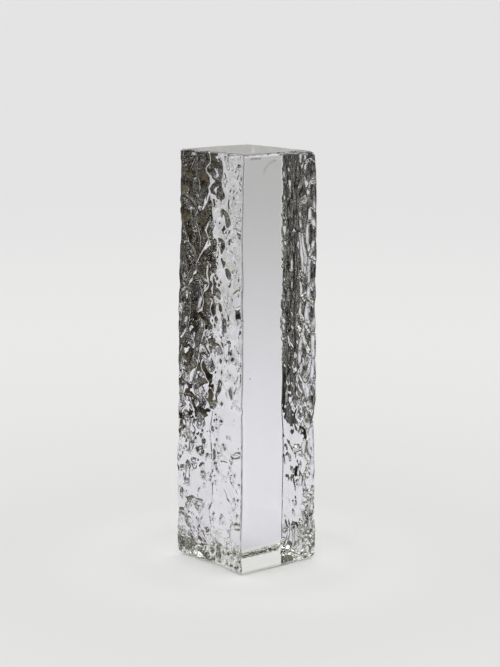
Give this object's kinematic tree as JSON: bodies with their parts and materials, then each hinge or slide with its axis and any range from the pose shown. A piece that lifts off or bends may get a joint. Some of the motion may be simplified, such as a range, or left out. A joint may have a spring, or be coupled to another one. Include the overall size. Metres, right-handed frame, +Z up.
{
  "type": "glass block",
  "caption": "Tall solid block of clear cast glass, nearly square in section, with bark-textured cast sides, flat polished sides and flat ends; it stands upright on its base.",
  "frame": {"origin": "middle of the block's outline, at the level of its base", "axes": "+Z up the block's length; -Y is the front, a polished face, and +Y the polished back; -X and +X are the two cast, bark-textured faces"},
  "size_m": [0.0718, 0.0734, 0.3],
  "materials": {
    "clear_glass": "clear cast glass with a faint olive-grey body tint; the cast faces are fire-bright in relief, the other faces and the ends are polished flat"
  },
  "bodies": {
    "root": {"glass_block": "clear_glass"}
  },
  "joints": []
}
